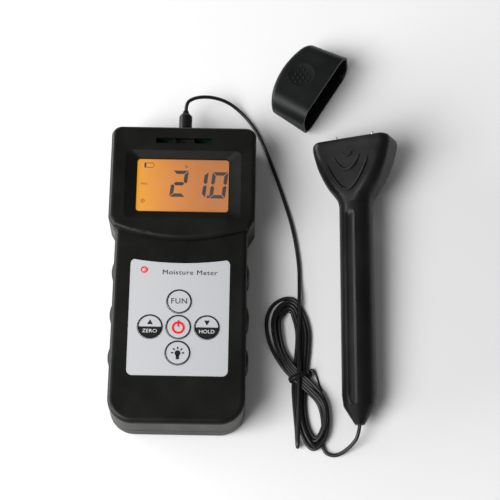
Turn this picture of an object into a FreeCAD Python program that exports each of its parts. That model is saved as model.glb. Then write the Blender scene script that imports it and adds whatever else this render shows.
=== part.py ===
import FreeCAD, Part
import math
import os

V = FreeCAD.Vector
os.makedirs("parts", exist_ok=True)

# Frame: the meter lies on its back on the table. The origin is the middle of its flat back,
# +X right, +Y towards the display and the plug, +Z up out of the display. Millimetres.

# Meter case
case_length = 147.0
head_width = 70.0
grip_width = head_width - 7.0
head_height = 28.0          # table to the face around the display
grip_height = 25.0          # table to the face around the keypad
seam_z = 10.0               # parting plane between the rear and the front shell
wall = 2.2
grip_flare = 0.4            # each side of the grip is this much wider at the bottom
shoulder_top = 26.0
shoulder_bottom = 20.0
top_corner = 5.0
bottom_corner = 12.0
face_round = 2.4
back_round = 3.0
step_middle = 15.5          # lowest point of the arc that ends the raised head
seam_groove = 0.4
case_top = case_length / 2
beside = head_width / 2     # the lead, the probe and the cap are placed from the meter's right side

# Side grips
bump_rows = (1.4, -19.8, -40.7)
bump_chord = 10.5
bump_rise = 1.2

# Display
window_middle = case_top - 30.3
window_width = 44.0
window_height = 27.0
bezel_width = 55.6
bezel_height = 35.0
bezel_depth = 1.6
lens_thick = 1.0
lens_overlap = 1.5
lcd_thick = 2.0
backlight_thick = 2.2

# Keypad
panel_width = 47.0
panel_top = 6.1
panel_bottom = -51.0
panel_sag = 2.0
panel_corner = 2.6
panel_thick = 0.9
panel_recess = 1.0
key_diameter = 11.6
key_thick = 0.5
key_gap = 0.3
key_travel = 0.4
key_column = key_diameter + 1.7
key_row = key_diameter + 0.95
key_middle = -27.5
plunger_diameter = 4.0
switch_side = 5.0
led_place = (-16.8, 0.6)
led_diameter = 3.0

# Sound slots above the display
slot_row = case_top - 7.7
slot_height = 2.8
slot_span = 27.4
slot_rib = 0.6

# Inside
board_z = 18.0
board_thick = 1.6
board_room = 0.4
board_bottom = 9.5 - case_top
cell_diameter = 10.5
cell_length = 44.5
cell_pitch = cell_diameter + 0.2
cell_z = cell_diameter / 2 + 2.75
contact_half = cell_diameter / 2 - 1.25
bay_length = 50.0
bay_bottom = 11.5 - case_top
bay_half = 2 * cell_pitch + 0.5
bay_roof = cell_z + cell_diameter / 2 + 0.35
bay_wall = 1.5
door_half = bay_half + 0.1
door_tongue = 1.2
door_end = bay_bottom + bay_length + 1.0
door_low = 0.2
door_high = 2.0
door_gap = 0.3
screw_row = case_top - 7.5
screw_places = (
    (beside - 5.8, screw_row),
    (5.8 - beside, screw_row),
    (grip_width / 2 - 5.1, -screw_row),
    (5.1 - grip_width / 2, -screw_row),
)
board_screw_places = (
    (17.5, screw_row),
    (-17.5, screw_row),
    (20.5, 6.0 - screw_row),
    (-20.5, 6.0 - screw_row),
)
screw_diameter = 2.5
screw_head = 4.6
boss_diameter = 5.8

# Plug and lead
plug_z = 14.8
jack_diameter = 3.5
jack_fit = 0.05
jack_length = 14.0
socket_face = case_top + 1.3
plug_diameter = 6.4
plug_end = socket_face + 10.6
boot_end = plug_end + 2.0
lead_diameter = 1.8
lead_rest = 0.95            # height of the centreline of a lead that lies on the table
hank_top = -4.0
hank_side = beside + 37.0
hank_thick = 6.4

# Hand probe, lying rolled to the left with its head leaning on its left rear edge
probe_tip = V(beside + 50.5, -68.5, 8.5)
probe_roll = -26.0
probe_pitch = 2.9
probe_lean = 0.9
probe_length = 140.5
tail_radius = 8.2
neck_radius = 8.1
head_half = 9.0             # half the thickness of the head
neck_y = 108.0
tail_y = 14.0
shell_wall = 2.0
flute_radius = 5.0
flute_sink = 4.0            # the flute's axis is this far above the handle
flute_low = 10.0
flute_high = 101.0
handle_bore = 5.4
end_cap_step = 8.6          # the end cap's steep point turns into its barrel here
end_cap_radius = 7.5
head_screw_x = 7.0
head_screw_y = 124.0
pin_spread = 19.0
pin_block_half = pin_spread / 2 + 3.0
pin_block_thick = 8.0
pin_block_gap = 0.1
pin_diameter = 1.2
pin_reach = 4.5

# Protective cap, lying on its sloping back with its mouth to the lower right
cap_place = V(beside + 34.2, 99.3, 0.0)
cap_heading = -31.0
cap_mouth_width = 42.4
cap_end_width = 39.2
cap_mouth_thick = 21.2
cap_end_thick = 16.2
cap_depth = 24.6
cap_sag = 5.0               # the closed end is an arc this deep
cap_round = 7.6
cap_wall = 1.5
cap_side_wall = 1.1         # thinner at the sides, so the mouth goes over the probe's head
dimple_radius = 24.0
dimple_depth = 0.95


def save(name, *solids):
    shape = solids[0] if len(solids) == 1 else Part.makeCompound(list(solids))
    shape.exportStep("parts/%s.step" % name)
    volume = sum(solid.Volume for solid in shape.Solids)
    print("%-18s solids %2d  volume %9.1f mm3  valid %s" % (name, len(shape.Solids), volume, shape.isValid()))


def box(x0, x1, y0, y1, z0, z1):
    return Part.makeBox(x1 - x0, y1 - y0, z1 - z0, V(x0, y0, z0))


def post(x, y, z0, z1, radius):
    return Part.makeCylinder(radius, z1 - z0, V(x, y, z0))


def bar(x, z, y0, y1, radius):
    return Part.makeCylinder(radius, y1 - y0, V(x, y0, z), V(0, 1, 0))


def taper(x, z, y0, y1, radius0, radius1):
    return Part.makeCone(radius0, radius1, y1 - y0, V(x, y0, z), V(0, 1, 0))


def rounded(corners):
    """A closed wire through (x, y, corner radius) points."""
    ends = []
    count = len(corners)
    for i in range(count):
        x, y, radius = corners[i]
        here = V(x, y, 0)
        before = V(corners[i - 1][0], corners[i - 1][1], 0)
        after = V(corners[(i + 1) % count][0], corners[(i + 1) % count][1], 0)
        if radius == 0:
            ends.append((here, None, here))
            continue
        a = (before - here).normalize()
        b = (after - here).normalize()
        half = a.getAngle(b) / 2
        reach = radius / math.tan(half)
        middle = here + (a + b).normalize() * (radius / math.sin(half) - radius)
        ends.append((here + a * reach, middle, here + b * reach))
    edges = []
    for i in range(count):
        first, middle, last = ends[i]
        if middle is not None:
            edges.append(Part.Arc(first, middle, last).toShape())
        following = ends[(i + 1) % count][0]
        if (following - last).Length > 1e-6:
            edges.append(Part.LineSegment(last, following).toShape())
    return Part.Wire(edges)


def rectangle(width, height, radius, x=0.0, y=0.0):
    w = width / 2
    h = height / 2
    corners = [(x - w, y - h), (x + w, y - h), (x + w, y + h), (x - w, y + h)]
    return rounded([(a, b, radius) for a, b in corners])


def slab(wire, z0, z1):
    face = Part.Face(wire)
    face.translate(V(0, 0, z0))
    return face.extrude(V(0, 0, z1 - z0))


def grown(wire, amount):
    return Part.Face(wire).makeOffset2D(amount).OuterWire


def edges_at(shape, z):
    found = []
    for edge in shape.Edges:
        bounds = edge.BoundBox
        if abs(bounds.ZMin - z) < 1e-4 and abs(bounds.ZMax - z) < 1e-4:
            found.append(edge)
    return found


def case_outline():
    grip = grip_width / 2
    low = grip + grip_flare
    right = [
        (low, -case_top, bottom_corner),
        (grip, shoulder_bottom, 3.0),
        (beside, shoulder_top, 3.0),
        (beside, case_top, top_corner),
    ]
    left = [(-x, y, radius) for x, y, radius in reversed(right)]
    return rounded(right + left)


def head_outline():
    """The raised head: it ends in a shallow arc that comes down into the shoulders."""
    share = 0.25
    x = grip_width / 2 + share * (beside - grip_width / 2)
    y = shoulder_bottom + share * (shoulder_top - shoulder_bottom)
    drop = 2 * (y - step_middle)
    reach = math.hypot(x, drop) - 3.0
    radius = reach * x / drop
    right = [(x, y, 2.0), (beside, shoulder_top, 3.0), (beside, case_top, top_corner)]
    left = [(-a, b, c) for a, b, c in reversed(right)]
    return rounded([(0.0, y - drop, radius)] + right + left)


def case_solid():
    outline = case_outline()
    grip = slab(outline, 0, grip_height)
    grip = grip.makeFillet(back_round, edges_at(grip, 0))
    grip = grip.makeFillet(face_round, edges_at(grip, grip_height))
    head = slab(head_outline(), seam_z, head_height)
    head = head.makeFillet(face_round, edges_at(head, head_height))
    solid = grip.fuse(head)
    for bump in side_bumps():
        solid = solid.fuse(bump)
    ring = slab(grown(outline, 3.0), seam_z - seam_groove / 2, seam_z + seam_groove / 2)
    ring = ring.cut(slab(grown(outline, -seam_groove), 0, head_height))
    return solid.cut(ring)


def side_bumps():
    radius = (bump_chord * bump_chord / 4 + bump_rise * bump_rise) / (2 * bump_rise)
    bumps = []
    for y in bump_rows:
        share = (shoulder_bottom - y) / (shoulder_bottom + case_top)
        side = grip_width / 2 + grip_flare * share
        for sign in (-1, 1):
            bump = post(sign * (side + bump_rise - radius), y, 4.0, 21.0, radius)
            bump = bump.makeFillet(3.0, edges_at(bump, 21.0))
            bumps.append(bump.makeFillet(3.0, edges_at(bump, 4.0)))
    return bumps


def panel_solid(grow, z0, z1):
    middle = (panel_top + panel_bottom) / 2
    width = panel_width + 2 * grow
    height = panel_top - panel_bottom + 2 * grow
    solid = slab(rectangle(width, height, panel_corner + grow, 0, middle), z0, z1)
    radius = (panel_width * panel_width / 4 + panel_sag * panel_sag) / (2 * panel_sag)
    return solid.cut(post(0, panel_top - panel_sag + radius, z0 - 1, z1 + 1, radius - grow))


def key_places():
    return {
        "fun": (0.0, key_middle + key_row),
        "zero": (-key_column, key_middle),
        "power": (0.0, key_middle),
        "hold": (key_column, key_middle),
        "light": (0.0, key_middle - key_row),
    }


def bezel_pocket():
    z = head_height
    top = rectangle(bezel_width, bezel_height, 3.0, 0, window_middle)
    low = rectangle(window_width + 1.0, window_height + 1.0, 2.0, 0, window_middle)
    top.translate(V(0, 0, z + 0.001))
    low.translate(V(0, 0, z - bezel_depth))
    return Part.makeLoft([top, low], True, True)


def sound_slots():
    pitch = slot_span / 3
    slots = []
    for i in (-1, 0, 1):
        half = (pitch - slot_rib) / 2
        z0 = head_height - wall - 1
        y0 = slot_row - slot_height / 2
        slots.append(box(i * pitch - half, i * pitch + half, y0, y0 + slot_height, z0, head_height + 1))
    return slots


def make_front_shell(case):
    outline = case_outline()
    inner = grown(outline, -wall)
    inside = slab(inner, 0, grip_height - panel_recess - wall)
    inside = inside.fuse(slab(grown(head_outline(), -wall), 0, head_height - wall))
    shell = case.common(box(-60, 60, -100, 100, seam_z, 60)).cut(inside)
    face = grip_height - panel_recess
    for x, y in screw_places:
        roof = head_height - wall if y > 0 else face - wall
        shell = shell.fuse(post(x, y, seam_z, roof + 0.5, boss_diameter / 2).common(case))
    for x, y in board_screw_places:
        roof = head_height - wall if y > 0 else face - wall
        shell = shell.fuse(post(x, y, board_z + board_thick, roof + 0.5, 2.2))
    cuts = [bezel_pocket(), panel_solid(key_gap, face, grip_height + 1)]
    cuts.append(slab(rectangle(window_width, window_height, 1.5, 0, window_middle), 20, head_height + 1))
    cuts += sound_slots()
    for x, y in key_places().values():
        cuts.append(post(x, y, 15, grip_height, plunger_diameter / 2 + 0.35))
    cuts.append(post(led_place[0], led_place[1], 15, grip_height, led_diameter / 2 + 0.2))
    cuts.append(bar(0, plug_z, case_top - 13.5, case_top + 6.5, 3.2))
    for x, y in screw_places:
        cuts.append(post(x, y, seam_z - 1, board_z + 1, screw_diameter / 2 + 0.05))
    for x, y in board_screw_places:
        cuts.append(post(x, y, board_z, board_z + board_thick + 2.4, 1.05))
    for cut in cuts:
        shell = shell.cut(cut)
    return shell


def make_rear_shell(case):
    outline = case_outline()
    low = case.common(box(-60, 60, -100, 100, -1, seam_z))
    shell = low.cut(slab(grown(outline, -wall), wall, seam_z + 1))
    bay_top = bay_bottom + bay_length
    bay_outside = bay_half + bay_wall
    pad = box(-door_half - 3.4, door_half + 3.4, -case_top, door_end + 3, 0.5, 4.0).common(low)
    bay = box(-bay_outside, bay_outside, bay_bottom - bay_wall, bay_top + bay_wall, 3, bay_roof + bay_wall)
    shell = shell.fuse(pad).fuse(bay)
    for x, y in screw_places:
        shell = shell.fuse(post(x, y, 1.0, seam_z, boss_diameter / 2).common(low))
    shell = shell.cut(box(-bay_half, bay_half, bay_bottom, bay_top, 4.0, bay_roof))
    shell = shell.cut(box(0.6 - bay_half, bay_half - 0.6, bay_bottom + 1, bay_top - 1, -1, 5))
    slot = door_half + door_gap
    groove = slot + door_tongue
    end = door_end + door_gap
    shell = shell.cut(box(-slot, slot, -case_length, end, -1, door_high + door_gap))
    shell = shell.cut(box(-groove, groove, -case_length, end, 0.8, door_high + door_gap))
    for x, y in screw_places:
        shell = shell.cut(post(x, y, -1, 3.4, screw_head / 2 + 0.2))
        shell = shell.cut(post(x, y, 0, seam_z + 1, screw_diameter / 2 + 0.1))
    return shell


def make_battery_door(case):
    side = door_half + door_tongue
    plate = box(-door_half, door_half, -case_length, door_end, door_low, door_high)
    tongues = box(-side, side, -case_length, door_end, 1.1, door_high)
    door = plate.fuse(tongues).common(case)
    for i in range(5):
        y = bay_bottom + i * 2.0
        door = door.cut(box(-10, 10, y, y + 0.9, door_low - 1, door_low + 0.5))
    return door


def make_display():
    lens_top = head_height - wall
    wide = window_width + 2 * lens_overlap
    high = window_height + 2 * lens_overlap
    lens = slab(rectangle(wide, high, 1.0, 0, window_middle), lens_top - lens_thick, lens_top)
    glass_top = lens_top - lens_thick - 0.2
    glass = slab(rectangle(wide - 1, high - 1, 0.5, 0, window_middle), glass_top - lcd_thick, glass_top)
    light_top = glass_top - lcd_thick - 0.1
    light_low = light_top - backlight_thick
    low_y = window_middle - high / 2 + 3.2
    light = box(-wide / 2 + 1, wide / 2 - 1, low_y, window_middle + high / 2 - 1, light_low, light_top)
    floor = board_z + board_thick
    strip_y = window_middle - high / 2 + 0.8
    strip = box(-wide / 2 + 2, wide / 2 - 2, strip_y, strip_y + 1.8, floor, glass_top - lcd_thick)
    frame = slab(rectangle(wide + 3, high + 3, 1.5, 0, window_middle), floor, lens_top - lens_thick)
    opening = rectangle(wide - 0.4, high - 0.4, 0.8, 0, window_middle)
    frame = frame.cut(slab(opening, floor - 1, head_height))
    save("display_window", lens)
    save("lcd_glass", glass)
    save("backlight", light)
    save("zebra_strip", strip)
    save("lcd_frame", frame)


def make_panel():
    face = grip_height - panel_recess
    panel = panel_solid(0, face, face + panel_thick)
    for x, y in key_places().values():
        panel = panel.cut(post(x, y, face - 1, grip_height + 1, key_diameter / 2 + key_gap))
    hole = led_diameter / 2 + 0.2
    panel = panel.cut(post(led_place[0], led_place[1], face - 1, grip_height + 1, hole))
    save("keypad_label", panel)


def make_keys():
    floor = board_z + board_thick
    switches = []
    for name, (x, y) in key_places().items():
        half = switch_side / 2
        body = box(x - half, x + half, y - half, y + half, floor, floor + 1.0)
        switches.append(body.fuse(post(x, y, floor + 1.0, floor + 1.5, 1.3)))
        disc = post(x, y, grip_height - key_thick, grip_height, key_diameter / 2)
        disc = disc.makeFillet(0.15, edges_at(disc, grip_height))
        foot = floor + 1.5 + key_travel + 0.05
        save("key_" + name, disc.fuse(post(x, y, foot, grip_height - key_thick, plunger_diameter / 2)))
    save("key_switches", *switches)


def make_board():
    floor = board_z + board_thick
    grip = grip_width / 2 - wall - board_room
    head = beside - wall - board_room
    top = case_top - wall - 1.2
    right = [
        (grip, board_bottom, 7.0),
        (grip, shoulder_bottom, 0),
        (head, shoulder_top + 2, 0),
        (head, top, 3.0),
    ]
    left = [(-a, b, c) for a, b, c in reversed(right)]
    board = slab(rounded(right + left), board_z, floor)
    for x, y in screw_places:
        board = board.cut(post(x, y, board_z - 1, floor + 1, boss_diameter / 2 + board_room))
    for x, y in board_screw_places:
        board = board.cut(post(x, y, board_z - 1, floor + 1, 1.1))
    save("circuit_board", board)
    chips = [
        box(-6, 6, 18, 30, board_z - 1.6, board_z),
        box(12, 20, 30, 36, board_z - 1.5, board_z),
        post(-20, 36, board_z - 6.5, board_z, 3.0),
        post(-20, 28, board_z - 6.5, board_z, 3.0),
        box(-24, -16, 46, 50, board_z - 3.0, board_z),
    ]
    save("board_components", *chips)
    x, y = led_place
    led = post(x, y, floor, grip_height - 1.2, led_diameter / 2)
    dome = Part.makeSphere(led_diameter / 2, V(x, y, grip_height - 1.2))
    save("status_led", led.fuse(dome))
    buzzer = post(0, slot_row, floor, floor + 4.6, 5.2)
    save("buzzer", buzzer.cut(post(0, slot_row, floor + 3.8, floor + 6, 1.2)))


def make_jack():
    inner = case_top - wall
    body = box(-6, 6, inner - 14.5, inner - 0.2, plug_z - 3.2, board_z)
    nose = bar(0, plug_z, inner - 0.2, socket_face - 0.2, 3.0)
    bore = bar(0, plug_z, inner - 13.5, socket_face + 1, jack_diameter / 2 + jack_fit)
    save("jack_socket", body.fuse(nose).cut(bore))
    ring = bar(0, plug_z, case_top, socket_face, 3.9)
    save("socket_ring", ring.cut(bar(0, plug_z, case_top - 3.5, case_top + 6.5, 3.0)))


def make_batteries():
    top = bay_bottom + bay_length
    cells = []
    plates = []
    springs = []
    for i in range(4):
        x = (i - 1.5) * cell_pitch
        turned = i % 2 == 1
        start = bay_bottom + bay_length - 0.4 - cell_length
        cell = bar(x, cell_z, start, start + cell_length - 1.2, cell_diameter / 2)
        cell = cell.fuse(bar(x, cell_z, start + cell_length - 1.2, start + cell_length, 1.9))
        coil = make_spring(x, bay_bottom + 0.4, start)
        if turned:
            middle = V(x, (bay_bottom + top) / 2, cell_z)
            cell.rotate(middle, V(0, 0, 1), 180)
            coil.rotate(middle, V(0, 0, 1), 180)
        cells.append(cell)
        springs.append(coil)
        low = cell_z - contact_half + 0.1
        high = cell_z + contact_half
        plates.append(box(x - contact_half, x + contact_half, bay_bottom, bay_bottom + 0.4, low, high))
        plates.append(box(x - contact_half, x + contact_half, top - 0.4, top, low, high))
    save("battery_cells", *cells)
    save("battery_contacts", *plates)
    save("battery_springs", *springs)


def make_spring(x, y0, y1):
    wire_radius = 0.3
    length = y1 - y0 - 2 * wire_radius
    helix = Part.makeHelix(length / 3.5, length, 3.0)
    profile = Part.Wire(Part.Circle(V(3.0, 0, 0), V(0, 1, 0), wire_radius).toShape())
    coil = Part.Wire(helix.Edges).makePipeShell([profile], True, True)
    coil.rotate(V(0, 0, 0), V(1, 0, 0), -90)
    coil.translate(V(x, y0 + wire_radius, cell_z))
    return coil


def make_screws():
    screws = []
    for x, y in screw_places:
        head = post(x, y, 1.6, 3.4, screw_head / 2)
        head = head.cut(box(x - 1.3, x + 1.3, y - 0.25, y + 0.25, 1, 2.6))
        head = head.cut(box(x - 0.25, x + 0.25, y - 1.3, y + 1.3, 1, 2.6))
        screws.append(head.fuse(post(x, y, 3.4, board_z, screw_diameter / 2)))
    save("case_screws", *screws)
    small = []
    for x, y in board_screw_places:
        head = post(x, y, board_z - 1.3, board_z, 1.9)
        small.append(head.fuse(post(x, y, board_z, board_z + board_thick + 2.2, 1.0)))
    save("board_screws", *small)


def make_plug():
    tip = socket_face - jack_length
    radius = jack_diameter / 2
    cone = taper(0, plug_z, tip, tip + 1.6, 0.8, radius)
    collar = taper(0, plug_z, tip + 1.6, tip + 2.6, radius, 1.3)
    save("plug_contacts",
         cone.fuse(collar).fuse(bar(0, plug_z, tip + 2.6, tip + 4.0, radius)),
         bar(0, plug_z, tip + 4.4, tip + 7.0, radius),
         bar(0, plug_z, tip + 7.4, socket_face + 0.05, radius))
    save("plug_insulators",
         bar(0, plug_z, tip + 4.0, tip + 4.4, radius),
         bar(0, plug_z, tip + 7.0, tip + 7.4, radius))
    base = socket_face + 0.05
    full = plug_diameter / 2
    body = taper(0, plug_z, base, base + 0.8, full - 0.5, full)
    body = body.fuse(bar(0, plug_z, base + 0.8, plug_end - 1.2, full))
    body = body.fuse(taper(0, plug_z, plug_end - 1.2, plug_end, full, full - 0.9))
    save("plug_body", body)
    boot = taper(0, plug_z, plug_end, boot_end, 1.9, 1.25)
    save("plug_boot", boot.cut(bar(0, plug_z, plug_end + 0.01, boot_end + 1, 0.7)))


def lead_run_points():
    """From the plug round the top right corner of the meter and down to the top of the hank."""
    return [
        V(0.0, boot_end, plug_z),
        V(0.0, boot_end + 3.4, plug_z),
        V(1.7, boot_end + 6.3, 14.4),
        V(6.2, boot_end + 8.9, 12.6),
        V(12.9, boot_end + 10.5, 9.2),
        V(beside - 14.4, boot_end + 9.9, 5.0),
        V(beside - 7.2, boot_end + 5.2, 1.9),
        V(beside - 1.0, boot_end - 2.2, lead_rest),
        V(beside + 4.6, boot_end - 13.6, lead_rest),
        V(beside + 9.6, boot_end - 26.8, lead_rest),
        V(beside + 14.6, 45.4, lead_rest),
        V(beside + 19.0, 30.6, lead_rest),
        V(beside + 21.8, 13.2, lead_rest),
        V(beside + 21.8, hank_top, lead_rest),
    ]


def lead_tail_points():
    """From the foot of the hank up into the end of the probe."""
    return [
        V(hank_side, -80.6, lead_rest),
        V(hank_side + 4.6, -80.6, lead_rest),
        V(hank_side + 10.0, -79.0, 4.0),
        probe_tip + V(0.1, -6.49, -0.33),
        probe_tip,
    ]


def route(points):
    """Straight runs joined by tangent arcs of 0.45 of the shorter run."""
    edges = []
    radii = []
    start = points[0]
    for i in range(1, len(points) - 1):
        here = points[i]
        a = points[i - 1] - here
        b = points[i + 1] - here
        reach = 0.45 * min(a.Length, b.Length)
        a.normalize()
        b.normalize()
        half = a.getAngle(b) / 2
        radius = reach * math.tan(half)
        radii.append(round(radius, 1))
        middle = here + (a + b).normalize() * (radius / math.sin(half) - radius)
        edges.append(Part.LineSegment(start, here + a * reach).toShape())
        edges.append(Part.Arc(here + a * reach, middle, here + b * reach).toShape())
        start = here + b * reach
    edges.append(Part.LineSegment(start, points[-1]).toShape())
    return Part.Wire(edges), radii


def make_tube(name, points):
    path, radii = route(points)
    along = points[1] - points[0]
    profile = Part.Wire(Part.Circle(points[0], along, lead_diameter / 2).toShape())
    tube = path.makePipeShell([profile], True, False, 2)
    section = math.pi * lead_diameter * lead_diameter / 4
    ratio = tube.Volume / section / path.Length
    save(name, tube)
    print("  length %.1f  volume ratio %.4f  radii %s" % (path.Length, ratio, radii))


def make_hank():
    outline = rounded([
        (beside + 11.5, hank_top, 5.0),
        (beside + 25.4, hank_top, 2.4),
        (beside + 28.6, -22.0, 8.0),
        (beside + 27.0, -42.5, 10.0),
        (hank_side, -60.0, 8.0),
        (hank_side, -82.0, 1.0),
        (beside + 21.0, -82.0, 2.0),
        (beside + 18.4, -52.0, 12.0),
        (beside + 5.9, -20.0, 8.0),
    ])
    solid = slab(outline, 0.1, hank_thick)
    save("lead_hank", solid.makeFillet(1.5, edges_at(solid, hank_thick)))
    start = V(beside + 28.4, -41.2, 0.8)
    along = V(4.6, -8.2, 0)
    save("twist_tie", Part.makeCylinder(0.6, along.Length, start, along))


def placed_probe(shape):
    moved = shape.copy()
    moved.rotate(V(0, 0, 0), V(0, 1, 0), probe_roll)
    moved.rotate(V(0, 0, 0), V(1, 0, 0), probe_pitch)
    moved.rotate(V(0, 0, 0), V(0, 0, 1), probe_lean)
    moved.translate(probe_tip)
    return moved


def head_section(y, half_width, half_thick, radius):
    wire = rectangle(2 * half_width, 2 * half_thick, radius)
    wire.rotate(V(0, 0, 0), V(1, 0, 0), 90)
    wire.translate(V(0, y, 0))
    return wire


def probe_head(shrink):
    """Lofted through rows of (place along the probe, half width, half thickness, corner radius)."""
    end = probe_length - shrink
    rows = [
        (neck_y, neck_radius, neck_radius, 7.4),
        (neck_y + 4.0, 9.6, 8.5, 7.0),
        (neck_y + 8.0, 12.4, 8.8, 6.4),
        (neck_y + 13.0, 15.1, head_half, 5.8),
        (neck_y + 19.0, 17.6, head_half, 5.2),
        (neck_y + 25.0, 19.3, head_half, 4.8),
        (probe_length - 4.0, 20.0, head_half, 4.6),
        (probe_length - 1.2, 19.8, 8.8, 4.4),
        (end, 18.7, 7.8, 3.6),
    ]
    wires = []
    for y, half_width, half_thick, radius in rows:
        if y > end:
            continue
        wires.append(head_section(y, half_width - shrink, half_thick - shrink, radius - 0.8 * shrink))
    return Part.makeLoft(wires, True, False)


def make_probe():
    outer = probe_head(0)
    inner = probe_head(shell_wall)
    hollow = inner.common(box(-20, 20, neck_y - 1, probe_length - 2.2, -20, 20))
    shell = outer.cut(hollow)
    half = pin_block_half + pin_block_gap
    thick = pin_block_thick / 2 + pin_block_gap
    shell = shell.cut(box(-half, half, probe_length - 10, probe_length + 1, -thick, thick))
    front = shell.common(box(-30, 30, 100, 160, 0, 20))
    rear = shell.common(box(-30, 30, 100, 160, -20, 0))
    post_end = head_half - shell_wall + 0.3
    screw_seat = 5.0
    y = head_screw_y
    for x in (-head_screw_x, head_screw_x):
        front = front.fuse(post(x, y, 0, post_end, 2.0)).cut(post(x, y, -1, 4.2, 0.85))
        rear = rear.fuse(post(x, y, -post_end, 0, 2.4)).cut(post(x, y, -head_half, -screw_seat, 1.9))
        rear = rear.cut(post(x, y, -head_half, 1, 0.9))
    save("probe_head_front", placed_probe(front))
    save("probe_head_rear", placed_probe(rear))
    screws = []
    for x in (-head_screw_x, head_screw_x):
        head = post(x, y, -screw_seat - 1.2, -screw_seat, 1.7)
        screws.append(placed_probe(head.fuse(post(x, y, -screw_seat, 4.0, 0.8))))
    save("probe_screws", *screws)
    make_pins()
    board = box(-5, 5, neck_y + 1, neck_y + 12, -0.8, 0.8)
    save("probe_board", placed_probe(board))
    make_handle()


def make_pins():
    half = pin_block_half
    thick = pin_block_thick / 2
    block = box(-half, half, probe_length - 12, probe_length + 0.4, -thick, thick)
    pins = []
    nuts = []
    for x in (-pin_spread / 2, pin_spread / 2):
        start = probe_length - 14
        point = probe_length + pin_reach
        block = block.cut(bar(x, 0, start, point, pin_diameter / 2))
        pin = bar(x, 0, start, point - 1.2, pin_diameter / 2)
        pin = pin.fuse(taper(x, 0, point - 1.2, point, pin_diameter / 2, 0.1))
        pins.append(placed_probe(pin))
        nut = hexagon(x, probe_length + 0.4, probe_length + 2.0, 1.9)
        nuts.append(placed_probe(nut.cut(bar(x, 0, probe_length, probe_length + 3, pin_diameter / 2))))
    save("pin_block", placed_probe(block))
    save("probe_pins", *pins)
    save("pin_nuts", *nuts)


def hexagon(x, y0, y1, radius):
    corners = []
    for i in range(7):
        turn = math.radians(60 * i)
        corners.append(V(x + radius * math.cos(turn), y0, radius * math.sin(turn)))
    return Part.Face(Part.makePolygon(corners)).extrude(V(0, y1 - y0, 0))


def flute_tool():
    """A bar with round ends that lies along the front of the handle and cuts its flute."""
    low = V(0, flute_low, tail_radius + flute_sink)
    high = V(0, flute_high, neck_radius + flute_sink)
    length = (high - low).Length
    half = flute_radius * math.sqrt(0.5)
    far = length + flute_radius
    profile = Part.Wire([
        Part.Arc(V(0, -flute_radius, 0), V(0, -half, half), V(0, 0, flute_radius)).toShape(),
        Part.LineSegment(V(0, 0, flute_radius), V(0, length, flute_radius)).toShape(),
        Part.Arc(V(0, length, flute_radius), V(0, length + half, half), V(0, far, 0)).toShape(),
        Part.LineSegment(V(0, far, 0), V(0, -flute_radius, 0)).toShape(),
    ])
    tool = Part.Face(profile).revolve(V(0, 0, 0), V(0, 1, 0), 360)
    tool.rotate(V(0, 0, 0), V(1, 0, 0), math.degrees(math.atan2(high.z - low.z, high.y - low.y)))
    tool.translate(low)
    return tool


def make_handle():
    tool = flute_tool()
    handle = taper(0, 0, tail_y, neck_y, tail_radius, neck_radius)
    handle = handle.cut(bar(0, 0, tail_y - 1, neck_y + 1, handle_bore)).cut(tool)
    save("probe_handle", placed_probe(handle))
    cap = taper(0, 0, 0, end_cap_step, 2.3, end_cap_radius)
    cap = cap.fuse(taper(0, 0, end_cap_step, tail_y, end_cap_radius, tail_radius))
    cap = cap.cut(bar(0, 0, end_cap_step - 0.6, tail_y + 1, handle_bore))
    cap = cap.cut(tool).cut(bar(0, 0, 0.6, end_cap_step + 0.4, 1.0))
    sleeve = bar(0, 0, tail_y - 3, tail_y, 5.5).fuse(bar(0, 0, tail_y, tail_y + 3, 5.35))
    cap = cap.fuse(sleeve.cut(bar(0, 0, tail_y - 4, tail_y + 4, 4.2)))
    save("probe_end_cap", placed_probe(cap))


def cap_row(y, inset):
    """The cap's cross-section at a place y along it, from the mouth at 0 to the closed end."""
    share = -y / cap_depth
    half_width = cap_mouth_width / 2 + share * (cap_end_width - cap_mouth_width) / 2
    half_width -= inset * cap_side_wall / cap_wall
    half_thick = cap_mouth_thick / 2 + share * (cap_end_thick - cap_mouth_thick) / 2 - inset
    return head_section(y, half_width, half_thick, cap_round - inset)


def cap_form(inset, y_front):
    body = Part.makeLoft([cap_row(y_front, inset), cap_row(-cap_depth - 3, inset)], True, True)
    radius = cap_end_width ** 2 / 8 / cap_sag + cap_sag / 2
    middle_y = radius - cap_depth
    end = Part.makeCylinder(radius - inset, 40, V(0, middle_y, -20))
    return body.common(end)


def cap_end_edges(solid):
    """The loop of edges around the curved wall at the closed end."""
    radius = cap_end_width ** 2 / 8 / cap_sag + cap_sag / 2
    axis = V(0, radius - cap_depth, 0)
    loop = []
    for edge in solid.Edges:
        spots = [edge.valueAt(edge.FirstParameter + share * (edge.LastParameter - edge.FirstParameter))
                 for share in (0.0, 0.5, 1.0)]
        if all(abs(V(spot.x, spot.y, 0).distanceToPoint(axis) - radius) < 0.01 for spot in spots):
            loop.append(edge)
    return loop


def make_cap():
    outer = cap_form(0, 0)
    outer = outer.makeFillet(2.6, cap_end_edges(outer))
    cap = outer.cut(cap_form(cap_wall, 1.0))
    slope = math.atan((cap_mouth_thick - cap_end_thick) / 2 / cap_depth)
    centre_y = -0.55 * cap_depth
    top = cap_mouth_thick / 2 + centre_y * math.tan(slope)
    rise = dimple_radius - dimple_depth
    centre = V(0, centre_y - math.sin(slope) * rise, top + math.cos(slope) * rise)
    cap = cap.cut(Part.makeSphere(dimple_radius, centre))
    cap.rotate(V(0, 0, 0), V(1, 0, 0), math.degrees(slope))
    cap.rotate(V(0, 0, 0), V(0, 0, 1), cap_heading - 90)
    lift = cap_mouth_thick / 2 * math.cos(slope)
    cap.translate(cap_place + V(0, 0, lift))
    save("protective_cap", cap)


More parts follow.
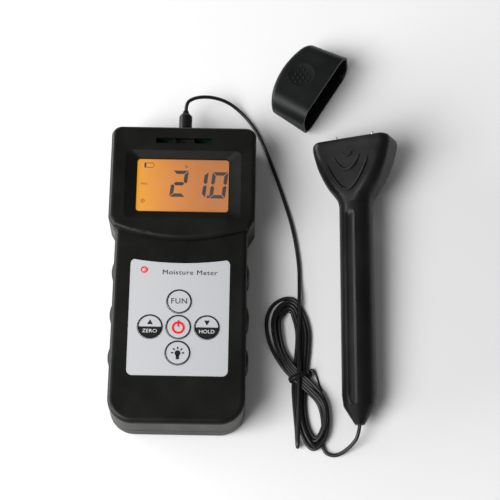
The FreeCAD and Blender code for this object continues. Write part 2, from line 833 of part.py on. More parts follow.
def main():
    case = case_solid()
    save("front_shell", make_front_shell(case))
    save("rear_shell", make_rear_shell(case))
    save("battery_door", make_battery_door(case))
    make_display()
    make_panel()
    make_keys()
    make_board()
    make_jack()
    make_batteries()
    make_screws()
    make_plug()
    make_tube("lead_run", lead_run_points())
    make_tube("lead_tail", lead_tail_points())
    make_hank()
    make_probe()
    make_cap()


main()
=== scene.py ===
import bpy
import bmesh
from math import atan2, cos, pi, radians, sin, sqrt
from mathutils import Matrix, Vector


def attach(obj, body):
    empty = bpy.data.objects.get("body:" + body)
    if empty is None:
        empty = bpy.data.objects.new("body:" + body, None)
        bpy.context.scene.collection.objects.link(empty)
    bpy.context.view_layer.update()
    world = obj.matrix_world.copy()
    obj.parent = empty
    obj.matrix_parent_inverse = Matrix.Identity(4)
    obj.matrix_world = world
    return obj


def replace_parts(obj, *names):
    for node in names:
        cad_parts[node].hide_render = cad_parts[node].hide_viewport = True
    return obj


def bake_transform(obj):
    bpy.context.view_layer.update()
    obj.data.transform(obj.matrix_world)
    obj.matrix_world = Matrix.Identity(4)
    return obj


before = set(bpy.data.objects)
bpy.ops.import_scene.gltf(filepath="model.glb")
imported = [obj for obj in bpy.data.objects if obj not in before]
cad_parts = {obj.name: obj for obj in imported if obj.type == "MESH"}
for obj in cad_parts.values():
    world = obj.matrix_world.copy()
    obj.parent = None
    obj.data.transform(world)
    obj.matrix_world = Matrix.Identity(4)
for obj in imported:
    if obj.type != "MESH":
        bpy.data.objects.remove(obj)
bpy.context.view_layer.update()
mm = 0.001
print("frame loaded:", len(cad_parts), "nodes")


class Value:
    # one node socket, with the sums that the materials use
    def __init__(self, shader, socket):
        self.shader = shader
        self.socket = socket

    def sum(self, operation, other):
        return self.shader.add("ShaderNodeMath", {"operation": operation}, {0: self, 1: other})

    def __add__(self, other):
        return self.sum("ADD", other)

    def __sub__(self, other):
        return self.sum("SUBTRACT", other)

    def __mul__(self, other):
        return self.sum("MULTIPLY", other)

    def ramp(self, low, high, to0=0.0, to1=1.0):
        # from to0 at low to to1 at high, flat outside
        return self.shader.add("ShaderNodeMapRange", {"clamp": True},
                               {0: self, 1: low, 2: high, 3: to0, 4: to1})


class Shader:
    def __init__(self, name):
        self.material = bpy.data.materials.new(name)
        self.material.use_nodes = True
        self.tree = self.material.node_tree
        self.surface = self.tree.nodes["Principled BSDF"]

    def add(self, kind, settings=None, inputs=None, output=0):
        node = self.tree.nodes.new(kind)
        for name, setting in (settings or {}).items():
            if name == "stops":
                for i, (place, colour) in enumerate(setting):
                    stop = node.color_ramp.elements[i] if i < 2 else node.color_ramp.elements.new(place)
                    stop.position = place
                    stop.color = colour
            else:
                setattr(node, name, setting)
        for name, given in (inputs or {}).items():
            self.feed(node.inputs[name], given)
        return Value(self, node.outputs[output])

    def feed(self, socket, given):
        if isinstance(given, Value):
            self.tree.links.new(given.socket, socket)
        else:
            socket.default_value = given

    def set(self, **inputs):
        for name, given in inputs.items():
            self.feed(self.surface.inputs[name.replace("_", " ")], given)

    def place(self):
        return self.add("ShaderNodeTexCoord", output=3)

    def noise(self, scale, detail, rough):
        return self.add("ShaderNodeTexNoise", {"noise_dimensions": "3D"},
                        {"Vector": self.place(), "Scale": scale, "Detail": detail, "Roughness": rough})

    def cells(self, scale):
        return self.add("ShaderNodeTexVoronoi", {}, {"Vector": self.place(), "Scale": scale})

    def axis(self, which):
        return self.add("ShaderNodeSeparateXYZ", {}, {0: self.place()}, which)

    def blend(self, share, first, second):
        # first where share is 0, second where it is 1
        return self.add("ShaderNodeMix", {"data_type": "RGBA"}, {0: share, 6: first, 7: second}, 2)

    def bump(self, height, strength, distance):
        made = self.add("ShaderNodeBump", {},
                        {"Strength": strength, "Distance": distance, "Height": height})
        self.set(Normal=made)


def finish(bm, name, material, body, place=None, smooth=False):
    # a piece's object stays at the origin: its place goes into the mesh
    mesh = bpy.data.meshes.new(name)
    bm.to_mesh(mesh)
    bm.free()
    if place is not None:
        mesh.transform(place)
    mesh.materials.append(material)
    for polygon in mesh.polygons:
        polygon.use_smooth = smooth
    piece = bpy.data.objects.new(name, mesh)
    bpy.context.scene.collection.objects.link(piece)
    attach(piece, body)


def letters(text, size, place, bm, spacing=1.0, squeeze=1.0):
    # flat lettering centred on place, added to bm
    curve = bpy.data.curves.new("letters", "FONT")
    curve.body = text
    curve.size = size
    curve.space_character = spacing
    curve.align_x = "CENTER"
    curve.align_y = "CENTER"
    curve.resolution_u = 3
    holder = bpy.data.objects.new("letters", curve)
    mesh = bpy.data.meshes.new_from_object(holder)
    mesh.transform(Matrix.Translation(place) @ Matrix.Diagonal((squeeze, 1, 1, 1)))
    bm.from_mesh(mesh)
    bpy.data.objects.remove(holder)
    bpy.data.curves.remove(curve)
    bpy.data.meshes.remove(mesh)


def ring(bm, centre, outer, inner, segments=64):
    place = Matrix.Translation(centre)
    made = bmesh.ops.create_circle(bm, segments=segments, radius=outer, matrix=place)["verts"]
    made += bmesh.ops.create_circle(bm, segments=segments, radius=inner, matrix=place)["verts"]
    edges = list({edge for vert in made for edge in vert.link_edges})
    bmesh.ops.bridge_loops(bm, edges=edges)


def disc(bm, centre, radius, segments=64):
    return bmesh.ops.create_circle(bm, cap_ends=True, segments=segments, radius=radius,
                                   matrix=Matrix.Translation(centre))["verts"]


def outlineFace(bm, points, z):
    # one flat face through points given in millimetres
    bm.faces.new([bm.verts.new((x * mm, y * mm, z * mm)) for x, y in points])


def thicken(bm, height):
    # gives flat shapes a thickness, upwards
    faces = list(bm.faces)
    bmesh.ops.recalc_face_normals(bm, faces=faces)
    grown = bmesh.ops.extrude_face_region(bm, geom=faces)["geom"]
    upper = [part for part in grown if isinstance(part, bmesh.types.BMVert)]
    bmesh.ops.translate(bm, vec=(0, 0, height), verts=upper)
    bmesh.ops.recalc_face_normals(bm, faces=list(bm.faces))


camera = {"elevation": 70.0, "roll": 1.0, "distance": 0.85, "lens": 125.15, "target": (0.0328, 0.0204, 0.0)}


def makeCamera():
    tilt = radians(camera["elevation"])
    roll = radians(camera["roll"])
    ahead = Vector((0, cos(tilt), -sin(tilt)))
    right = Vector((1, 0, 0)) * cos(roll) + Vector((0, sin(tilt), cos(tilt))) * sin(roll)
    up = right.cross(ahead)
    data = bpy.data.cameras.new("camera")
    data.lens = camera["lens"]
    data.sensor_width = 36.0
    data.clip_start = 0.01
    holder = bpy.data.objects.new("camera", data)
    bpy.context.scene.collection.objects.link(holder)
    turn = Matrix((right, up, -ahead)).transposed().to_4x4()
    holder.matrix_world = Matrix.Translation(Vector(camera["target"]) - ahead * camera["distance"]) @ turn
    bpy.context.scene.camera = holder


makeCamera()
print("camera placed")


def moulded(name, colour, rough, grain=1.0, gloss=0.2):
    # moulded plastic: fine spark-eroded grain, faint clouds in colour and polish
    shader = Shader(name)
    cloud = shader.noise(60.0, 4.0, 0.6)
    fine = shader.noise(2600.0, 2.0, 0.5)
    dark = tuple(0.72 * c for c in colour[:3]) + (1.0,)
    light = tuple(1.35 * c for c in colour[:3]) + (1.0,)
    scuff = shader.noise(340.0, 6.0, 0.75).ramp(0.62, 0.78)
    shader.set(Base_Color=shader.blend(cloud.ramp(0.3, 0.7) * 0.8 + scuff * 0.2, dark, light),
               Roughness=cloud.ramp(0.3, 0.7, rough - 0.05, rough + 0.06) - scuff * 0.05)
    shader.surface.inputs["Specular IOR Level"].default_value = gloss
    shader.bump(fine, 0.25 * grain, 0.00004)
    return shader.material


def metal(name, colour, rough):
    shader = Shader(name)
    streak = shader.noise(900.0, 3.0, 0.6)
    shader.set(Base_Color=shader.blend(streak, tuple(0.8 * c for c in colour[:3]) + (1.0,), colour),
               Metallic=1.0, Roughness=streak.ramp(0.3, 0.7, rough - 0.06, rough + 0.08))
    shader.bump(streak, 0.1, 0.00003)
    return shader.material


def plain(name, colour, rough, spread=0.15, size=300.0):
    # paint, ink, ceramic or card: even, with a slight mottle
    shader = Shader(name)
    mottle = shader.noise(size, 3.0, 0.6)
    low = tuple((1 - spread) * c for c in colour[:3]) + (1.0,)
    high = tuple(min(1.0, (1 + spread) * c) for c in colour[:3]) + (1.0,)
    shader.set(Base_Color=shader.blend(mottle, low, high),
               Roughness=mottle.ramp(0.2, 0.8, rough - 0.04, rough + 0.04))
    return shader.material


def silverLabel(name):
    # printed polycarbonate: pale grey, a trace of flake, random clouds in tone, and painted light that makes
    # it a touch lighter at the left
    shader = Shader(name)
    flake = shader.noise(5200.0, 1.0, 0.5)
    cloud = shader.noise(40.0, 3.0, 0.6)
    # painted light: the label's own grey is blended lighter towards the left edge, where the lamp falls,
    # mixed with random clouds
    across = shader.axis(0).ramp(-0.024, 0.024)
    base = shader.blend(across * 0.7 + cloud * 0.3, (0.61, 0.615, 0.63, 1), (0.50, 0.515, 0.54, 1))
    shader.set(Base_Color=shader.blend(flake.ramp(0.45, 0.75) * 0.25, base, (0.72, 0.73, 0.75, 1)),
               Roughness=cloud.ramp(0.3, 0.7, 0.42, 0.5))
    shader.bump(flake, 0.08, 0.00002)
    return shader.material


def amberDisplay(name):
    # backlight: brightest at the left edge, falling off to the right
    shader = Shader(name)
    across = shader.axis(0)
    along = shader.axis(1)
    cloud = shader.noise(55.0, 3.0, 0.5)
    fall = across.ramp(-0.022, 0.014) * 0.86 + cloud * 0.1 + along.ramp(0.03, 0.057) * 0.08
    glow = shader.add("ShaderNodeValToRGB", {"stops": [
        (0.0, (1.0, 0.43, 0.008, 1)), (0.35, (0.80, 0.27, 0.010, 1)),
        (0.7, (0.60, 0.18, 0.012, 1)), (1.0, (0.48, 0.14, 0.014, 1))]}, {0: fall})
    shader.set(Base_Color=(0.06, 0.025, 0.006, 1), Roughness=0.5, Emission_Color=glow)
    shader.surface.inputs["Emission Strength"].default_value = 0.86
    return shader.material


def clearWindow(name):
    shader = Shader(name)
    haze = shader.noise(120.0, 4.0, 0.6)
    shader.set(Base_Color=(0.9, 0.9, 0.9, 1), Alpha=haze.ramp(0.2, 0.8, 0.02, 0.04), Roughness=0.12)
    shader.material.surface_render_method = "BLENDED"
    return shader.material


ledPlace = (-16.8, 0.6)


def redLamp(name):
    # a pale spot in the middle of the lens
    shader = Shader(name)
    x, y = ledPlace
    flat = shader.add("ShaderNodeCombineXYZ", {}, {0: shader.axis(0), 1: shader.axis(1), 2: 0.0})
    away = shader.add("ShaderNodeVectorMath", {"operation": "DISTANCE"},
                      {0: flat, 1: (x * mm, y * mm, 0.0)}, 1)
    colour = shader.blend(away.ramp(0.0004, 0.0011), (0.95, 0.30, 0.26, 1), (0.92, 0.035, 0.02, 1))
    shader.set(Base_Color=colour, Roughness=0.25, Emission_Color=colour)
    shader.surface.inputs["Emission Strength"].default_value = 0.55
    return shader.material


def boardGreen(name):
    shader = Shader(name)
    traces = shader.cells(260.0).ramp(0.2, 0.24)
    shader.set(Base_Color=shader.blend(traces, (0.02, 0.13, 0.05, 1), (0.012, 0.07, 0.03, 1)),
               Roughness=0.35)
    return shader.material


def jacket(name):
    # the lead's soft black jacket
    shader = Shader(name)
    fine = shader.noise(1500.0, 3.0, 0.6)
    cloud = shader.noise(80.0, 3.0, 0.5)
    shader.set(Base_Color=shader.blend(cloud, (0.004, 0.004, 0.004, 1), (0.011, 0.011, 0.011, 1)),
               Roughness=cloud.ramp(0.3, 0.7, 0.38, 0.5))
    shader.bump(fine, 0.2, 0.00003)
    return shader.material


caseColour = (0.0075, 0.0084, 0.0068)
finishes = {
    "case": moulded("casePlastic", caseColour, 0.40),
    "rear": moulded("rearPlastic", (0.0115, 0.0125, 0.011), 0.42),
    "door": moulded("doorPlastic", (0.0105, 0.0115, 0.010), 0.44),
    "probe": moulded("probePlastic", (0.008, 0.0086, 0.008), 0.36),
    "cap": moulded("capPlastic", (0.008, 0.0085, 0.0085), 0.40),
    "plug": moulded("plugPlastic", (0.009, 0.009, 0.009), 0.42),
    "socket": moulded("socketPlastic", (0.01, 0.01, 0.01), 0.5),
    "chip": moulded("chipPlastic", (0.015, 0.015, 0.016), 0.5),
    "rubber": moulded("zebraRubber", (0.06, 0.06, 0.065), 0.7),
    "white": plain("whitePlastic", (0.75, 0.75, 0.73), 0.5),
    "diffuser": plain("diffuser", (0.8, 0.45, 0.1), 0.4),
    "sleeve": plain("cellSleeve", (0.03, 0.09, 0.25), 0.3),
    "ink": plain("blackInk", (0.006, 0.006, 0.006), 0.45),
    "redInk": plain("redInk", (0.86, 0.012, 0.02), 0.4),
    "paleInk": plain("paleInk", (0.82, 0.82, 0.82), 0.45),
    "lcdInk": plain("lcdInk", (0.006, 0.003, 0.002), 0.5),
    "lcdFaint": plain("lcdFaintInk", (0.16, 0.045, 0.008), 0.5),
    "label": silverLabel("silverLabel"),
    "lcd": amberDisplay("amberDisplay"),
    "window": clearWindow("clearWindow"),
    "led": redLamp("redLamp"),
    "board": boardGreen("boardGreen"),
    "lead": jacket("leadJacket"),
    "steel": metal("screwSteel", (0.35, 0.35, 0.36, 1), 0.35),
    "nickel": metal("nickelPlate", (0.72, 0.70, 0.66, 1), 0.22),
    "pin": metal("pinSteel", (0.75, 0.75, 0.76, 1), 0.25),
}
nodeFinish = {
    "front_shell": "case", "rear_shell": "rear", "battery_door": "door", "display_window": "window",
    "lcd_glass": "lcd", "backlight": "diffuser", "lcd_frame": "white", "zebra_strip": "rubber",
    "circuit_board": "board", "board_components": "chip", "keypad_label": "label", "key_fun": "label",
    "key_zero": "label", "key_power": "label", "key_hold": "label", "key_light": "label",
    "key_switches": "steel", "status_led": "led", "buzzer": "chip", "jack_socket": "socket",
    "socket_ring": "nickel", "battery_cells": "sleeve", "battery_contacts": "nickel",
    "battery_springs": "nickel", "case_screws": "steel", "board_screws": "steel",
    "plug_contacts": "nickel", "plug_insulators": "chip", "plug_body": "plug", "plug_boot": "plug",
    "probe_head_front": "probe", "probe_head_rear": "probe", "probe_handle": "probe",
    "probe_end_cap": "probe", "probe_screws": "steel", "pin_block": "probe", "probe_pins": "pin",
    "pin_nuts": "steel", "probe_board": "board", "protective_cap": "cap", "lead_run": "lead",
    "lead_tail": "lead", "lead_hank": "lead", "twist_tie": "lead",
}
for node, finishName in nodeFinish.items():
    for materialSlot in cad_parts[node].material_slots:
        materialSlot.material = finishes[finishName]
print("materials on", len(nodeFinish), "nodes")


lead = {"diameter": 1.8, "rest": 0.95, "turns": 5, "unusedPoints": 6, "bendStart": 74.0, "bendEnd": 85.0}


def runPoints():
    rest = lead["rest"]
    return [
        (0.0, 87.4, 14.8), (0.0, 90.8, 14.8), (1.7, 93.7, 14.4), (6.2, 96.3, 12.6), (12.9, 97.9, 9.2),
        (20.6, 97.3, 5.0), (27.8, 92.6, 1.9), (34.0, 85.2, rest), (39.6, 73.8, rest), (44.6, 60.6, rest),
        (49.6, 45.4, rest), (54.0, 30.6, rest), (56.8, 13.2, rest),
    ]


def straightOverHank():
    # over the hank from its top to the tight fold at its foot, and back up underneath
    return [
        (57.0, 2.6, 1.1), (57.0, -4.0, 2.7), (56.9, -14.0, 2.8), (56.8, -26.0, 2.9), (56.8, -35.0, 3.7),
        (56.9, -44.0, 4.7), (56.9, -52.0, 4.6), (56.9, -62.0, 3.9), (56.9, -71.0, 3.8), (56.8, -77.4, 4.6),
        (56.7, -78.8, 2.4), (56.5, -76.0, 0.8), (56.0, -68.0, 0.95), (55.1, -59.0, 0.95),
    ]


def turnPoints(i):
    # one turn of the figure of eight: up the right of the upper loop, down its left,
    # across the waist and round the lower loop
    low = lead["rest"]
    high = low + 1.85
    waist = [60.6, 59.1, 57.5, 56.0, 54.7][i]
    right = [61.8, 60.1, 58.5, 57.0, 55.9][i]
    left = [41.5, 44.5, 45.6, 47.2, 47.7][i]
    leftHeight = [low, low, high, low, high][i]
    top = [-4.6, -6.2, -7.8, -9.5, -10.9][i]
    lowRight = [69.0, 69.2, 69.8, 70.9, 70.9][i]
    lowRightHeight = [low, high, high + 1.6, low, high][i]
    lowLeft = [60.9, 60.9, 59.3, 58.2, 57.0][i]
    lowLeftHeight = [low, low, low, high, low][i]
    foot = [-73.2, -73.6, -75.2, -77.0, -79.0][i]
    return [
        (waist - 0.4, -49.0, low), (waist + 0.2, -43.0, low), (0.4 * waist + 0.6 * right, -36.0, low),
        (right + 0.2, -28.5, low), (right + 0.3, -21.0, low), (right - 1.9, -13.0, low),
        (0.70 * right + 0.30 * left, top - 0.6, low + 0.1 * i),
        (0.42 * right + 0.58 * left, top + 0.5, low),
        (0.10 * right + 0.90 * left, top - 3.6, leftHeight), (left - 0.5, -15.6 - 0.2 * i, leftHeight),
        (left + 0.3, -24.6, leftHeight), (left + 3.6 - 0.4 * i, -33.0 + 0.5 * i, low + 0.9),
        (50.6 + 0.8 * i, -41.6 + 0.8 * i, high), (56.6 + 0.8 * i, -47.4 + 0.9 * i, high),
        (61.6 + 0.8 * i, -51.8 + 0.8 * i, high), (lowRight - 2.0, -56.6 + 0.7 * i, lowRightHeight),
        (lowRight + 0.2, -61.0, lowRightHeight), (lowRight - 0.1, foot + 6.4, lowRightHeight),
        (0.62 * lowRight + 0.38 * lowLeft, foot - 0.6, 0.6 * low + 0.4 * lowRightHeight),
        (0.30 * lowRight + 0.70 * lowLeft, foot + 1.0, lowLeftHeight),
        (lowLeft + 0.1, -66.5, lowLeftHeight),
        (lowLeft - 0.9 - 0.1 * i, -58.0, lowLeftHeight),
    ]


def tailPoints():
    # out from under the lower loop and up into the probe
    rest = lead["rest"]
    return [
        (68.9, -67.0, rest), (68.3, -73.4, rest), (68.9, -80.2, rest), (73.6, -82.1, rest),
        (77.9, -80.6, 2.0), (81.8, -77.6, 4.6), (84.9, -74.0, 7.7), (85.5, -68.5, 8.5),
    ]


def leadRoute():
    points = runPoints() + straightOverHank()
    for i in reversed(range(lead["turns"])):
        points += turnPoints(i)
    # the last turn stops after the crossing, where the lead leaves for the probe
    points = points[:-lead["unusedPoints"]] + tailPoints()
    return [Vector(point) * mm for point in points]


def splineCurve(name, places):
    curve = bpy.data.curves.new(name, "CURVE")
    curve.dimensions = "3D"
    spline = curve.splines.new("NURBS")
    spline.points.add(len(places) - 1)
    for point, place in zip(spline.points, places):
        point.co = (*place, 1.0)
    spline.order_u = 3
    spline.use_endpoint_u = True
    return curve


def makeLead():
    curve = splineCurve("leadRoute", leadRoute())
    curve.splines[0].resolution_u = 6
    holder = bpy.data.objects.new("leadRoute", curve)
    line = bpy.data.meshes.new_from_object(holder)
    path = [vert.co.copy() for vert in line.vertices]
    curve.bevel_depth = lead["diameter"] / 2 * mm
    curve.bevel_resolution = 3
    curve.use_fill_caps = True
    tube = bpy.data.meshes.new_from_object(holder)
    bpy.data.objects.remove(holder)
    length = sum((b - a).length for a, b in zip(path, path[1:]))
    tube.materials.clear()
    tube.materials.append(finishes["lead"])
    for polygon in tube.polygons:
        polygon.use_smooth = True
    piece = bpy.data.objects.new("leadJacket", tube)
    bpy.context.scene.collection.objects.link(piece)
    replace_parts(piece, "lead_run", "lead_tail", "lead_hank")
    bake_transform(piece)
    print("lead length %.3f m" % length)
    return piece, path, length


leadPiece, leadPath, leadLength = makeLead()


tie = {
    "middle": (57.1, -44.4), "across": 5.2, "height": 6.0, "lift": 0.35, "width": 2.3, "thick": 0.3,
    "turn": 22.0,
}
twists = {
    "tieTwistA": {
        "radius": 0.35,
        "points": [(61.4, -43.4, 2.6), (62.2, -41.2, 2.6), (63.2, -39.9, 1.8), (64.6, -40.9, 1.0),
                   (65.7, -44.0, 0.7), (66.8, -47.6, 0.7), (68.2, -50.6, 0.9)],
    },
    "tieTwistB": {
        "radius": 0.6,
        "points": [(61.2, -44.6, 3.2), (62.9, -43.9, 3.0), (62.9, -42.0, 2.4), (61.9, -40.9, 2.0),
                   (62.2, -42.4, 1.2), (63.2, -42.6, 0.9)],
    },
}


def makeTieBand():
    # a flat black tie round the waist of the hank
    bm = bmesh.new()
    x, y = tie["middle"]
    middle = Vector((x, y, tie["height"] / 2 + tie["lift"])) * mm
    place = Matrix.Translation(middle) @ Matrix.Rotation(radians(tie["turn"]), 4, "Z")
    made = bmesh.ops.create_cone(bm, cap_ends=False, segments=40, radius1=1.0 * mm, radius2=1.0 * mm,
                                 depth=tie["width"] * mm, matrix=Matrix.Rotation(pi / 2, 4, "X"))["verts"]
    bmesh.ops.transform(bm, matrix=Matrix.Diagonal((tie["across"], 1.0, tie["height"] / 2, 1.0)), verts=made)
    bmesh.ops.solidify(bm, geom=list(bm.faces), thickness=tie["thick"] * mm)
    bmesh.ops.recalc_face_normals(bm, faces=list(bm.faces))
    finish(bm, "tieBand", finishes["plug"], "lead", place, True)


def makeTwist(name, twist):
    # one end of the tie, twisted with the other and bent away
    curve = splineCurve(name, [Vector(point) * mm for point in twist["points"]])
    curve.bevel_depth = twist["radius"] * mm
    curve.use_fill_caps = True
    holder = bpy.data.objects.new(name, curve)
    mesh = bpy.data.meshes.new_from_object(holder)
    bpy.data.objects.remove(holder)
    mesh.materials.clear()
    mesh.materials.append(finishes["plug"])
    piece = bpy.data.objects.new(name, mesh)
    bpy.context.scene.collection.objects.link(piece)
    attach(piece, "lead")
    return piece


makeTieBand()
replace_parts(makeTwist("tieTwistA", twists["tieTwistA"]), "twist_tie")
makeTwist("tieTwistB", twists["tieTwistB"])
print("lead and tie made")


display = {"inkTop": 24.62, "inkThick": 0.06, "digitFoot": 37.6, "batteryPlace": (-18.8, 55.4)}
digit = {"height": 13.6, "width": 7.6, "stroke": 1.75, "slant": 0.11, "gap": 0.28}


def segments(bm, left, low, which, z):
    # a leaning seven-part digit; left and low are its lower left corner
    w = digit["width"]
    h = digit["height"]
    s = digit["stroke"]
    g = digit["gap"]
    half = h / 2
    t = s * 0.55
    shapes = {
        "top": [(g, h), (w - g, h), (w - g - s, h - s), (g + s, h - s)],
        "foot": [(g, 0), (g + s, s), (w - g - s, s), (w - g, 0)],
        "bar": [
            (g + t, half), (g + t + s / 2, half + s / 2), (w - g - t - s / 2, half + s / 2),
            (w - g - t, half), (w - g - t - s / 2, half - s / 2), (g + t + s / 2, half - s / 2),
        ],
        "upperLeft": [
            (0, h - g), (s, h - g - s), (s, half + g + s / 2), (s / 2, half + g), (0, half + g + s * 0.3),
        ],
        "lowerLeft": [
            (0, g), (0, half - g - s * 0.3), (s / 2, half - g), (s, half - g - s / 2), (s, g + s),
        ],
        "upperRight": [
            (w, h - g), (w, half + g + s * 0.3), (w - s / 2, half + g), (w - s, half + g + s / 2),
            (w - s, h - g - s),
        ],
        "lowerRight": [
            (w, g), (w - s, g + s), (w - s, half - g - s / 2), (w - s / 2, half - g),
            (w, half - g - s * 0.3),
        ],
    }
    for name in which:
        outlineFace(bm, [(left + x + digit["slant"] * y, low + y) for x, y in shapes[name]], z)


def drawBattery(bm, z):
    # a thick left end, two long sides and a rounded right end
    left, top = display["batteryPlace"]
    neck = left + 0.9
    end = left + 4.1
    outlineFace(bm, [(left, top), (left, top - 2.6), (neck, top - 2.6), (neck, top)], z)
    for y in (top, top - 2.35):
        outlineFace(bm, [(neck, y), (neck, y - 0.25), (end, y - 0.25), (end, y)], z)
    outlineFace(bm, [(end, top), (end, top - 0.25), (left + 4.5, top - 0.7), (left + 4.5, top - 1.9),
                     (end, top - 2.35), (end, top - 2.6), (left + 4.75, top - 2.0),
                     (left + 4.75, top - 0.6)], z)


def makeDisplayInk():
    z = display["inkTop"]
    low = display["digitFoot"]
    bm = bmesh.new()
    segments(bm, -6.4, low + 0.3, ["top", "upperRight", "bar", "lowerLeft", "foot"], z)
    segments(bm, 3.2, low, ["upperRight", "lowerRight"], z)
    segments(bm, 12.7, low - 0.2, ["top", "upperLeft", "lowerLeft", "upperRight", "lowerRight", "foot"], z)
    disc(bm, (12.2 * mm, (low + 0.5) * mm, z * mm), 0.7 * mm, 20)
    drawBattery(bm, z)
    letters("%", 1.9 * mm, (1.4 * mm, 53.6 * mm, z * mm), bm, squeeze=1.3)
    thicken(bm, display["inkThick"] * mm)
    finish(bm, "displayDigits", finishes["lcdInk"], "meter")
    faint = bmesh.new()
    letters("MAX", 1.5 * mm, (-18.7 * mm, 44.4 * mm, z * mm), faint)
    ring(faint, (-19.0 * mm, 35.6 * mm, z * mm), 1.0 * mm, 0.72 * mm, 24)
    disc(faint, (-19.0 * mm, 35.6 * mm, z * mm), 0.3 * mm, 16)
    thicken(faint, display["inkThick"] * mm)
    finish(faint, "displaySmallSigns", finishes["lcdFaint"], "meter")


makeDisplayInk()
print("display signs made")


keypad = {
    "top": 25.02, "ink": 0.04, "outer": 5.74, "line": 0.5, "column": 13.3, "row": 12.55, "middle": -27.5,
    "wordsPlace": (4.6, -0.6, 24.92),
}
keyPlaces = {
    "fun": (0.0, keypad["middle"] + keypad["row"]), "zero": (-keypad["column"], keypad["middle"]),
    "power": (0.0, keypad["middle"]), "hold": (keypad["column"], keypad["middle"]),
    "light": (0.0, keypad["middle"] - keypad["row"]),
}


def keyRing(bm, x, y):
    outer = keypad["outer"] * mm
    ring(bm, (x * mm, y * mm, keypad["top"] * mm), outer, outer - keypad["line"] * mm)


def printed(bm, name, ink, body):
    thicken(bm, keypad["ink"] * mm)
    finish(bm, name, finishes[ink], body)


def makeFunPrint():
    x, y = keyPlaces["fun"]
    bm = bmesh.new()
    keyRing(bm, x, y)
    letters("FUN", 3.9 * mm, (x * mm, (y + 0.1) * mm, keypad["top"] * mm), bm, spacing=1.08)
    printed(bm, "keyFunPrint", "ink", "key_fun_cap")


def addHalfDisc(bm, x, y):
    # the dark lower half of a key's print
    z = keypad["top"] * mm
    half = bmesh.new()
    disc(half, (x * mm, y * mm, z), (keypad["outer"] - 0.2) * mm)
    bmesh.ops.bisect_plane(half, geom=list(half.verts) + list(half.edges) + list(half.faces),
                           plane_co=(x * mm, y * mm, z), plane_no=(0, 1, 0), clear_outer=True)
    mesh = bpy.data.meshes.new("half")
    half.to_mesh(mesh)
    half.free()
    bm.from_mesh(mesh)
    bpy.data.meshes.remove(mesh)


def makeArrowPrint(name, text, up):
    # an arrowhead above a dark half disc with a pale word; up is 1 or -1
    x, y = keyPlaces[name]
    bm = bmesh.new()
    keyRing(bm, x, y)
    addHalfDisc(bm, x, y)
    base = y + 2.25 - up * 1.1
    tip = y + 2.25 + up * 1.3
    outlineFace(bm, [(x - 1.3, base), (x + 1.3, base), (x, tip)], keypad["top"])
    printed(bm, "key%sPrint" % name.capitalize(), "ink", "key_%s_cap" % name)
    bm = bmesh.new()
    place = (x * mm, (y - 2.15) * mm, (keypad["top"] + 0.05) * mm)
    letters(text, 2.45 * mm, place, bm, squeeze=1.1)
    printed(bm, "key%sWord" % name.capitalize(), "paleInk", "key_%s_cap" % name)


def makePowerPrint():
    x, y = keyPlaces["power"]
    bm = bmesh.new()
    keyRing(bm, x, y)
    printed(bm, "keyPowerRing", "ink", "key_power_cap")
    bm = bmesh.new()
    ring(bm, (x * mm, (y - 0.3) * mm, keypad["top"] * mm), 3.05 * mm, 2.0 * mm)
    bar = [(x - 0.45, y + 0.1), (x + 0.45, y + 0.1), (x + 0.45, y + 3.3), (x - 0.45, y + 3.3)]
    outlineFace(bm, bar, keypad["top"] + 0.02)
    printed(bm, "keyPowerSign", "redInk", "key_power_cap")


def makeLightPrint():
    # a bulb with a stem and five short rays
    x, y = keyPlaces["light"]
    bm = bmesh.new()
    keyRing(bm, x, y)
    disc(bm, (x * mm, (y - 0.1) * mm, keypad["top"] * mm), 1.35 * mm, 32)
    stem = [(x - 0.7, y - 3.1), (x + 0.7, y - 3.1), (x + 0.8, y - 0.9), (x - 0.8, y - 0.9)]
    outlineFace(bm, stem, keypad["top"])
    for i in range(5):
        ray = Matrix.Translation((x, y - 0.1, 0)) @ Matrix.Rotation(radians(2 + 44 * i), 4, "Z")
        ends = [(1.95, -0.28), (3.05, -0.34), (3.05, 0.34), (1.95, 0.28)]
        spots = [ray @ Vector((a, b, 0)) for a, b in ends]
        outlineFace(bm, [(spot.x, spot.y) for spot in spots], keypad["top"])
    printed(bm, "keyLightPrint", "ink", "key_light_cap")


def makeLabelWords():
    bm = bmesh.new()
    place = Vector(keypad["wordsPlace"]) * mm
    letters("Moisture Meter", 3.3 * mm, place, bm, spacing=1.1, squeeze=1.12)
    printed(bm, "labelWords", "ink", "meter")


makeFunPrint()
makeArrowPrint("zero", "ZERO", 1)
makeArrowPrint("hold", "HOLD", -1)
makePowerPrint()
makeLightPrint()
makeLabelWords()
print("keypad printed")


probe = {"tip": (85.5, -68.5, 8.5), "roll": -26.0, "pitch": 2.9, "lean": 0.9, "faceHeight": 9.0}
probePlace = (
    Matrix.Translation(Vector(probe["tip"]) * mm)
    @ Matrix.Rotation(radians(probe["lean"]), 4, "Z")
    @ Matrix.Rotation(radians(probe["pitch"]), 4, "X")
    @ Matrix.Rotation(radians(probe["roll"]), 4, "Y")
)


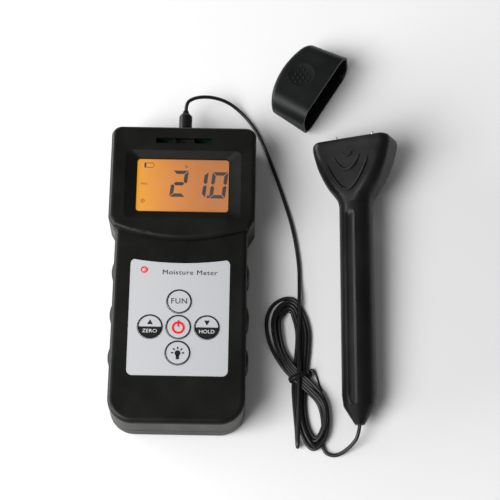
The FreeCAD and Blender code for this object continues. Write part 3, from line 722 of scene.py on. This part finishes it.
def makeRibs():
    # three nested raised ribs on the face of the head, each one a bow with tapered ends
    ribs = [
        {"half": 11.3, "top": 129.8, "low": 113.6, "power": 1.8, "wide": 1.3},
        {"half": 7.0, "top": 131.2, "low": 123.8, "power": 2.0, "wide": 1.3},
        {"half": 2.9, "top": 132.8, "low": 130.8, "power": 2.0, "wide": 1.1},
    ]
    middle = -0.7
    steps = 28
    for i, rib in enumerate(ribs):
        bm = bmesh.new()
        rise = rib["top"] - rib["low"]
        for k in range(steps + 1):
            share = -1 + 2 * k / steps
            bend = abs(share) ** (rib["power"] - 1)
            x = middle + rib["half"] * share
            y = rib["low"] + rise * abs(share) * bend
            slope = rib["power"] * rise / rib["half"] * bend * (1 if share > 0 else -1)
            swell = sqrt(max(0.0, 1 - abs(share) ** 5)) * 0.9 + 0.1
            spot = Matrix.Translation((x * mm, y * mm, probe["faceHeight"] * mm))
            turn = Matrix.Rotation(atan2(slope, 1.0), 4, "Z") @ Matrix.Rotation(pi / 2, 4, "Y")
            size = Matrix.Diagonal((0.8 * swell, rib["wide"] / 2 * swell, 1.0, 1.0))
            bmesh.ops.create_circle(bm, segments=12, radius=1.0 * mm, matrix=spot @ turn @ size)
        bmesh.ops.bridge_loops(bm, edges=list(bm.edges))
        bmesh.ops.holes_fill(bm, edges=list(bm.edges))
        bmesh.ops.recalc_face_normals(bm, faces=list(bm.faces))
        finish(bm, "probeRib%d" % (i + 1), finishes["probe"], "probe", probePlace, True)


makeRibs()
print("probe ribs made")


cap = {"place": (69.2, 99.3), "heading": -31.0, "mouthThick": 21.2, "endThick": 16.2, "depth": 24.6}
capSlope = atan2((cap["mouthThick"] - cap["endThick"]) / 2, cap["depth"])
capPlace = (
    Matrix.Translation(Vector((*cap["place"], cap["mouthThick"] / 2 * cos(capSlope))) * mm)
    @ Matrix.Rotation(radians(cap["heading"] - 90), 4, "Z")
    @ Matrix.Rotation(capSlope, 4, "X")
)
dimple = {"middle": -0.55 * cap["depth"], "radius": 24.0, "depth": 0.95}


def makeNubs():
    # rows of small domes in the thumb dimple, one fewer in each row towards the mouth
    nubs = {"pitch": 2.55, "radius": 0.5, "longest": 5, "rows": 4}
    bm = bmesh.new()
    for row in range(nubs["rows"]):
        count = nubs["longest"] - row
        for i in range(count):
            x = (i - (count - 1) / 2) * nubs["pitch"] + 0.6
            y = (row - 1.3) * nubs["pitch"] * 0.866
            face = cap["mouthThick"] / 2 + (dimple["middle"] + y) * sin(capSlope) / cos(capSlope)
            z = face - max(0.0, dimple["depth"] - (x * x + y * y) / (2 * dimple["radius"]))
            spot = Matrix.Translation((x * mm, (dimple["middle"] + y) * mm, z * mm))
            place = spot @ Matrix.Diagonal((1, 1, 0.9, 1))
            bmesh.ops.create_icosphere(bm, subdivisions=2, radius=nubs["radius"] * mm, matrix=place)
    finish(bm, "capNubs", finishes["cap"], "cap", capPlace, True)


makeNubs()
print("cap nubs made")


def makeFloor():
    shader = Shader("paleFloor")
    shader.set(Base_Color=(0.95, 0.95, 0.95, 1), Roughness=0.9)
    shader.surface.inputs["Specular IOR Level"].default_value = 0.0
    bm = bmesh.new()
    bmesh.ops.create_grid(bm, x_segments=1, y_segments=1, size=4.0)
    mesh = bpy.data.meshes.new("floor")
    bm.to_mesh(mesh)
    bm.free()
    mesh.materials.append(shader.material)
    floor = bpy.data.objects.new("floor", mesh)
    bpy.context.scene.collection.objects.link(floor)


def lamp(name, place, aim, size, power):
    data = bpy.data.lights.new(name, "AREA")
    data.shape = "RECTANGLE"
    data.size, data.size_y = size
    data.energy = power
    holder = bpy.data.objects.new(name, data)
    holder.location = place
    holder.rotation_euler = (Vector(aim) - Vector(place)).to_track_quat("-Z", "Y").to_euler()
    bpy.context.scene.collection.objects.link(holder)


makeFloor()
lamp("leftSoftbox", (-1.35, -0.85, 1.7), (0.02, 0.02, 0.0), (1.5, 1.5), 60.0)
lamp("leftStrip", (-1.1, 0.15, 0.19), (0.0, 0.02, 0.01), (1.6, 0.26), 22.0)
world = bpy.data.worlds.new("studio")
world.use_nodes = True
world.node_tree.nodes["Background"].inputs["Color"].default_value = (1.0, 1.0, 1.0, 1.0)
world.node_tree.nodes["Background"].inputs["Strength"].default_value = 0.15
bpy.context.scene.world = world
bpy.context.scene.view_settings.view_transform = "Standard"
print("floor and lights placed")
